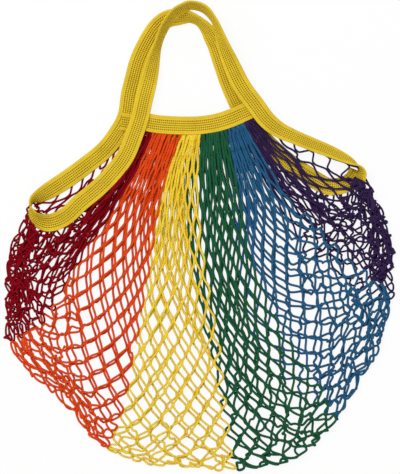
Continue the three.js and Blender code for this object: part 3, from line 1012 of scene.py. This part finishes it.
# %% Lay one yarn
PRESSED = YARN * 0.42  # from the middle of a yarn to where it is pressed on another
ROUGH = 0.6  # how much higher a yarn lies between joints, give or take as much


def smooth(values, width):
    """Values along a yarn, each averaged with its neighbours over about `width` points."""
    x = np.arange(-3 * width, 3 * width + 1)
    weights = np.exp(-((x / width) ** 2) / 2)
    weights /= weights.sum()
    return np.convolve(np.pad(values, 3 * width, mode="edge"), weights, mode="valid")


def widen(values, reach):
    """The highest of the values within `reach` points of each."""
    stretched = np.pad(values, reach, mode="edge")
    return np.max([stretched[k : k + len(values)] for k in range(2 * reach + 1)], axis=0)


def lay(path, base, roof):
    """Heights of a stretch of yarn on the pile, which it is then added to."""
    x, y = cells_of(path)
    under = pile[x, y]
    needed = np.where(under > 0, under + PRESSED, 0)
    height = smooth(np.maximum(widen(needed, 1), base), 2)
    height = np.minimum(height, np.maximum(roof[x, y] - RADIUS, RADIUS))
    top = height + PRESSED
    for dx, dy in ((0, 0), (1, 0), (-1, 0), (0, 1), (0, -1)):
        np.maximum.at(pile, (x + dx, y + dy), top)
    return height


def base_heights(yarn):
    """Heights between joints, from the heights of the joints of one yarn."""
    at = np.interp(rows_of[yarn], np.arange(ROWS), joint_height[joint_of[:, yarn]])
    rough = ROUGH * (1 + smooth_noise(np.arange(len(at)) * 1.0, 25, 100 + yarn))
    between = np.minimum(1, np.sin(rows_of[yarn] * np.pi) ** 2 * 3)
    return np.maximum(at + rough * between, RADIUS)


print("height of the first yarn between joints, in mm:", base_heights(0).mean().round(1))


# %% Lay the yarns
def lay_layer(front, roof):
    """Lay one layer of every yarn on the pile."""
    for yarn in order:
        part = (rows_of[yarn] < HALF_ROWS) == front
        heights[yarn][part] = lay(paths[yarn][part], base_heights(yarn)[part], roof)


heights = [np.zeros(len(path)) for path in paths]
order = rng.permutation(YARNS)
lay_layer(False, back_roof)
for cloud in (band_cloud(BACK_STRIP), band_cloud(BACK_MOUTH)):
    np.maximum.at(pile, cells_of(cloud[:, :2]), cloud[:, 2])
lay_layer(True, front_roof)
# At the fold each yarn steps down from the front layer to the back one, by these shares.
FOLD_STEPS = np.array([0.95, 0.9, 0.5, 0.1, 0.02])
LEAST_DROP = 1.6
for height, row in zip(heights, rows_of):
    fold = int(np.flatnonzero(row == HALF_ROWS)[0])
    low_side = height[fold + 3]
    high_side = max(height[fold - 3], low_side + LEAST_DROP)
    height[fold - 2 : fold + 3] = low_side + (high_side - low_side) * FOLD_STEPS
every_height = np.concatenate(heights)
drawn = [np.column_stack([path, height]) for path, height in zip(paths, heights)]
print("yarn drawn, in metres:", round(sum(distance_along(path)[-1] for path in drawn) * MM, 1))
print("net in mm: mean height", every_height.mean().round(1), "top", every_height.max().round(1))

# %% [markdown]
# ## Tubes
# A yarn is a tube of eight sides round its path. A bevelled curve would give the shape, but the
# finish also has to know how far along its yarn a place is. So the tubes of a stripe are one mesh,
# joined from arrays, with a UV map that runs along and round each yarn.

# %% Run of a tube
SIDES = 8
STRIPE_ENDS = [0, *(EXTRA + STRIPE_YARNS * k for k in range(1, 6)), YARNS]
# How thick each stripe's yarns are, and how much thicker where they are gathered.
STRIPE_THICKNESS = {
    "dark_red": (0.98, 0.1),
    "orange": (1.07, 0.16),
    "yellow": (1.05, 0.18),
    "green": (1.16, 0.2),
    "blue": (1.1, 0.14),
    "purple": (0.94, 0.1),
}


def thickness_of(yarn, share, swell):
    """Radii along a yarn, which is thinner where stretched and thicker where gathered."""
    row = np.minimum(rows_of[yarn].astype(int), ROWS - 2)
    near_mouth = np.exp(-np.minimum(row, ROWS - 2 - row) / 4)
    thick = 0.98 + swell * near_mouth + 0.2 * spare[row, yarn]
    return RADIUS * share * smooth(thick, 4)


def tube_path(yarn, thick):
    """The middle of a yarn, smoothed, and never deeper than the surface lets it lie."""
    path = np.concatenate([paths[yarn], heights[yarn][:, None]], axis=1)
    path[1:-1] = 0.25 * (path[:-2] + path[2:]) + 0.5 * path[1:-1]
    path[:, 2] = np.maximum(path[:, 2], thick * 1.05)
    return path


print("first yarn of each stripe:", STRIPE_ENDS[:-1])


# %% Skin of a tube
def rings_along(path, thick):
    """Rings of points round a path, carried along it without twisting."""
    ahead = [Vector(step).normalized() for step in np.gradient(path, axis=0)]
    across = ahead[0].cross(Vector((0, 0, 1)))
    carried = []
    for way in ahead:
        across = (across - way * across.dot(way)).normalized()
        carried.append(across)
    level = np.array(carried)[:, None]
    raised = np.cross(level, np.array(ahead)[:, None])
    angle = np.arange(SIDES)[None, :, None] / SIDES * 2 * np.pi
    return path[:, None] + (np.cos(angle) * level + np.sin(angle) * raised) * thick[:, None, None]


def squares_between(count, first):
    """The faces between `count` rings, whose points are numbered on from `first`."""
    ring = first + np.arange(count * SIDES).reshape(count, SIDES)
    turned_on = np.roll(ring, -1, axis=1)
    corners = [ring[:-1], turned_on[:-1], turned_on[1:], ring[1:]]
    return np.stack(corners, -1).reshape(-1, 4)


def unrolled(gone):
    """For each corner of those faces, how far along the yarn and round it the corner is."""
    u0 = np.repeat(gone[:-1, None] * MM, SIDES, 1)
    u1 = np.repeat(gone[1:, None] * MM, SIDES, 1)
    v0 = np.tile(np.arange(SIDES) / SIDES, (len(gone) - 1, 1))
    v1 = v0 + 1 / SIDES
    return np.stack([u0, v0, u0, v1, u1, v1, u1, v0], -1).reshape(-1, 2)


print("faces between two rings:", len(squares_between(2, 0)))


# %% Tube meshes, one for each stripe
def stripe_mesh(name, members, share, swell):
    """The yarns of one stripe as an object."""
    verts, faces, uvs = [], [], []
    for yarn in members:
        thick = thickness_of(yarn, share, swell)
        path = tube_path(yarn, thick)
        gone = distance_along(path)
        thick = thick * (1 + 0.04 * smooth_noise(gone, 7, 300 + yarn))
        faces.append(squares_between(len(path), sum(len(v) for v in verts)))
        verts.append(rings_along(path, thick).reshape(-1, 3))
        uvs.append(unrolled(gone))
    mesh = bpy.data.meshes.new(name)
    mesh.from_pydata(np.concatenate(verts) * MM, [], np.concatenate(faces))
    layer = mesh.uv_layers.new(name="along")
    layer.data.foreach_set("uv", np.concatenate(uvs).ravel())
    bm = bmesh.new()
    bm.from_mesh(mesh)
    piece = closed_piece(name, bm, mesh)
    print(name, "triangles:", sum(len(p.vertices) - 2 for p in piece.data.polygons))
    return piece


nets = {}
for name, first, last in zip(STRIPES, STRIPE_ENDS, STRIPE_ENDS[1:]):
    nets[name] = stripe_mesh(f"yarns_{name}", range(first, last), *STRIPE_THICKNESS[name])

# %% [markdown]
# ## Shader maths
# The patterns of yarn and band are sums of waves and noise. Wired by hand they would take dozens of
# Math nodes, so a small class wraps a socket and lets Python's operators add those nodes, and
# another one makes every other kind of node.


# %% Numbers that vary over a surface
class Num:
    """A number that varies over a surface: arithmetic on it adds Math nodes."""

    def __init__(self, nodes, socket):
        self.nodes = nodes
        self.socket = socket

    def math(self, operation, *values, swap=False):
        """The number after one Math node, which takes it last instead of first if swapped."""
        inputs = [self, *values]
        if swap:
            inputs.reverse()
        links = dict(enumerate(inputs))
        return self.nodes.add("ShaderNodeMath", {"operation": operation}, links)

    def __add__(self, other):
        return self.math("ADD", other)

    def __sub__(self, other):
        return self.math("SUBTRACT", other)

    def __rsub__(self, other):
        return self.math("SUBTRACT", other, swap=True)

    def __mul__(self, other):
        return self.math("MULTIPLY", other)

    def clamped(self):
        """No less than 0 and no more than 1."""
        return self.math("MAXIMUM", 0.0).math("MINIMUM", 1.0)


print("a Num can be added, subtracted, multiplied and clamped")


# %% Nodes of a material
class Nodes:
    """The nodes of one material or of the world. add() makes any of them."""

    def __init__(self, owner):
        owner.use_nodes = True
        self.owner = owner
        self.tree = owner.node_tree
        self.tree.nodes.clear()

    def add(self, kind, settings, inputs, output=0):
        """A node of some kind, with its settings and the values or links of its sockets."""
        node = self.tree.nodes.new(kind)
        for key, value in settings.items():
            setattr(node, key, value)
        for key, value in inputs.items():
            if isinstance(value, Num):
                self.tree.links.new(value.socket, node.inputs[key])
            else:
                node.inputs[key].default_value = value
        return Num(self, node.outputs[output]) if node.outputs else None

    def mix(self, factor, first, second):
        """A colour from the first to the second."""
        inputs = {"Factor": factor, 6: first, 7: second}
        return self.add("ShaderNodeMix", {"data_type": "RGBA"}, inputs, 2)

    def noise(self, scale):
        """A cloudy pattern in space, with `scale` clouds to a metre."""
        place = self.add("ShaderNodeTexCoord", {}, {}, "Object")
        inputs = {"Vector": place, "Scale": scale, "Detail": 2.0}
        return self.add("ShaderNodeTexNoise", {}, inputs, "Fac")

    def along_and_across(self):
        """The two numbers of the piece's own UV map."""
        uv = self.add("ShaderNodeUVMap", {"uv_map": "along"}, {})
        split = self.add("ShaderNodeSeparateXYZ", {}, {0: uv})
        return split, Num(self, split.socket.node.outputs[1])

    def cloth(self, colour, height, depth, roughness):
        """A matt finish, with a colour and a relief that is `depth` metres deep."""
        relief = {"Height": height, "Distance": depth, "Strength": 1.0}
        normal = self.add("ShaderNodeBump", {}, relief)
        inputs = {"Base Color": colour, "Normal": normal, "Roughness": roughness}
        inputs["Specular IOR Level"] = 0.06
        surface = self.add("ShaderNodeBsdfPrincipled", {}, inputs)
        self.add("ShaderNodeOutputMaterial", {}, {"Surface": surface})
        return self.owner

    def straight_look(self):
        """1 for what the camera sees straight, in a mirror or through glass, and 0 for light."""
        seen = self.add("ShaderNodeLightPath", {}, {}, "Is Camera Ray")
        outputs = seen.socket.node.outputs
        for name in ("Is Glossy Ray", "Is Transmission Ray"):
            seen = seen + Num(self, outputs[name])
        return seen.clamped()


print("Nodes can make:", [name for name in vars(Nodes) if not name.startswith("_")])


# %% Shades of a colour
def shade(rgb, amount):
    """A colour made darker or lighter."""
    return (*(min(1, value * amount) for value in rgb), 1)


TURN = 6.28318  # radians
print("a darker yellow:", shade((1, 0.62, 0.04), 0.5))

# %% [markdown]
# ## Finish of the yarns
# Cotton yarn is matt and uneven in colour, and its plies are twisted round each other, so the light
# catches them one by one. Modelled plies would need many times the faces, so sine waves along
# and round each yarn give the twist as relief and as a painted highlight on each ply, and noise
# gives the unevenness.

# %% Finish of the net yarns
TWIST = 0.0034  # metres of yarn in which its plies turn once
STRAND = 0.0011  # metres from one strand to the next
YARN_RELIEF = 0.00022


def yarn_finish(name, rgb):
    """Twisted cotton of one colour."""
    finish = Nodes(bpy.data.materials.new(name))
    gone, round_it = finish.along_and_across()
    ply = ((gone * (1 / TWIST) + round_it * 2) * TURN).math("SINE")
    strands = ((gone * (1 / STRAND) - round_it * 5) * TURN).math("SINE")
    height = ply * 0.5 + strands * 0.16
    patch = finish.noise(160.0)
    fine = finish.noise(1400.0)
    # The ply term is a painted highlight along the crest of each ply; the noise is the yarn's own
    # uneven colour.
    tone_and_painted_light = (patch * 0.9 + fine * 0.5 + ply * 0.14 - 0.35).clamped()
    colour = finish.mix(tone_and_painted_light, shade(rgb, 0.62), shade(rgb, 1.3))
    return finish.cloth(colour, height + fine * 0.4, YARN_RELIEF, 0.85)


YARN_COLOURS = {
    "dark_red": (0.24, 0.0015, 0.008),
    "orange": (0.75, 0.068, 0.009),
    "yellow": (1.0, 0.62, 0.04),
    "green": (0.013, 0.1, 0.043),
    "blue": (0.021, 0.108, 0.226),
    "purple": (0.038, 0.018, 0.076),
}
for name, rgb in YARN_COLOURS.items():
    nets[name].data.materials.append(yarn_finish(f"yarn_{name}", rgb))
print("yarn finishes:", len(YARN_COLOURS))

# %% [markdown]
# ## Finish of the band
# The band is one yellow yarn knitted into ribs. In each groove between two ribs there is a row of
# holes, half a millimetre wide, and the stitches lean in to it from both sides. Such holes are too
# small to cut, so dots of painted shade and a deep relief stand for them. The grooves are painted
# darker and the ribs and stitches lighter, as painted shade and painted light.

# %% Finish of the ribbed band
HOLE_STEP = 0.0021  # metres along a groove
STITCH_STEP = 0.00105
RIB_STEP = 0.0024  # from groove to groove
GROOVE_REACH = 0.0006
BAND_RELIEF = 0.0003
BAND_YELLOW = (0.76, 0.53, 0.031)
HOLE_SHADE = (0.2, 0.12, 0.01)


def band_finish(name, rgb):
    """Ribbed knit of one colour, with rows of small holes."""
    finish = Nodes(bpy.data.materials.new(name))
    gone, across = finish.along_and_across()
    groove = None
    for place in GROOVES:
        near = (across - place * MM).math("ABSOLUTE")
        groove = near if groove is None else groove.math("MINIMUM", near)
    in_groove = (1.25 - groove * (1 / GROOVE_REACH)).clamped()
    ladder = (gone * (TURN / HOLE_STEP)).math("SINE")
    holes = (in_groove * (ladder * 1.6 + 0.3)).clamped()
    lean_in = groove * (1 / RIB_STEP)
    stitch = ((gone * (1 / STITCH_STEP) + lean_in) * TURN).math("SINE")
    patch = finish.noise(60.0)
    fine = finish.noise(1500.0)
    # 1 in each groove and at the same spacing beyond them, and -1 on the ribs between.
    rib = ((across + 0.005) * (TURN / RIB_STEP)).math("SINE")
    # In the colour the rib term darkens the grooves as painted shade and lightens the ribs as
    # painted light, and the stitch term lightens each stitch as a painted highlight; the noise is
    # real unevenness.
    tone_and_painted_light = (patch * 0.8 + fine * 0.6 + stitch * 0.1 - rib * 0.18 - 0.3).clamped()
    body = finish.mix(tone_and_painted_light, shade(rgb, 0.78), shade(rgb, 1.16))
    # The dark dots in the grooves are painted shade for the holes.
    colour = finish.mix(holes * 0.9, body, shade(HOLE_SHADE, 1))
    height = stitch * 0.35 + fine * 0.5 - rib * 0.5 - holes * 1.6
    return finish.cloth(colour, height, BAND_RELIEF, 0.88)


band_material = band_finish("knitted_band", BAND_YELLOW)
for piece, _ in bands.values():
    piece.data.materials.append(band_material)
print("bands with the ribbed finish:", len(bands))

# %% [markdown]
# ## Fastening the pieces to the model
# Every piece rides on the model's one body and stands for its solid.

# %% Ride and replace
for name, (piece, length) in bands.items():
    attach(piece, "root")
    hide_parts(name)
# Pulled out lengthwise until its meshes close, a stripe is as long as its yarns, and as wide as
# they are side by side with a little air.
AIR = 1.15
for (name, piece), count in zip(nets.items(), np.diff(STRIPE_ENDS).tolist()):
    closed_width = count * YARN * AIR * STRIPE_THICKNESS[name][0] * MM
    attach(piece, "root")
    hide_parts(f"net_{name}")

# %% [markdown]
# ## Floor, light and camera
# The bag lies on a white surface and is seen from straight above. For the camera the floor glows
# white, so that the background stays clean, and it still darkens under the bag.


# %% Floor
def lit_white(name, glow):
    """A pale matt surface that also glows, but only where it is seen."""
    white = Nodes(bpy.data.materials.new(name))
    matt = white.add("ShaderNodeBsdfDiffuse", {}, {"Color": (0.8, 0.8, 0.8, 1)})
    bright = white.add("ShaderNodeEmission", {}, {"Strength": 1.0})
    both = {"Fac": white.straight_look() * glow, 1: matt, 2: bright}
    surface = white.add("ShaderNodeMixShader", {}, both)
    white.add("ShaderNodeOutputMaterial", {}, {"Surface": surface})
    return white.owner


bpy.ops.mesh.primitive_plane_add(size=8, location=(0, 0, -0.0002))
floor = bpy.context.object
floor.name = "floor"
floor.data.materials.append(lit_white("floor_white", 0.9))
print("floor, in metres:", [round(side, 1) for side in floor.dimensions])

# %% World, lamp and camera
world = bpy.data.worlds.new("studio")
bpy.context.scene.world = world
sky = Nodes(world)
level = sky.straight_look() * 0.25 + 0.75
glow = sky.add("ShaderNodeBackground", {}, {"Color": (1, 1, 1, 1), "Strength": level})
sky.add("ShaderNodeOutputWorld", {}, {"Surface": glow})

lamp = bpy.data.lights.new("soft_lamp", "AREA")
lamp.shape = "DISK"
lamp.size = 0.9
lamp.energy = 16
lamp_object = bpy.data.objects.new("soft_lamp", lamp)
lamp_object.location = (-0.5, 0.7, 1.5)
aim = Vector((0, 0, 0)) - lamp_object.location
lamp_object.rotation_euler = aim.to_track_quat("-Z", "Y").to_euler()
bpy.context.scene.collection.objects.link(lamp_object)

camera = bpy.data.cameras.new("camera")
HIGH = 3.0
FRAME_TALL = 0.4977  # metres of the surface from the top to the bottom of the view
camera.lens = camera.sensor_width * (HIGH - 0.006) / FRAME_TALL
camera.clip_end = 50
camera_object = bpy.data.objects.new("camera", camera)
camera_object.location = (0.00105, -0.0005, HIGH)  # over the middle of the bag
bpy.context.scene.collection.objects.link(camera_object)
bpy.context.scene.camera = camera_object
bpy.context.scene.view_settings.view_transform = "Standard"
print("lens:", round(camera.lens), "mm")
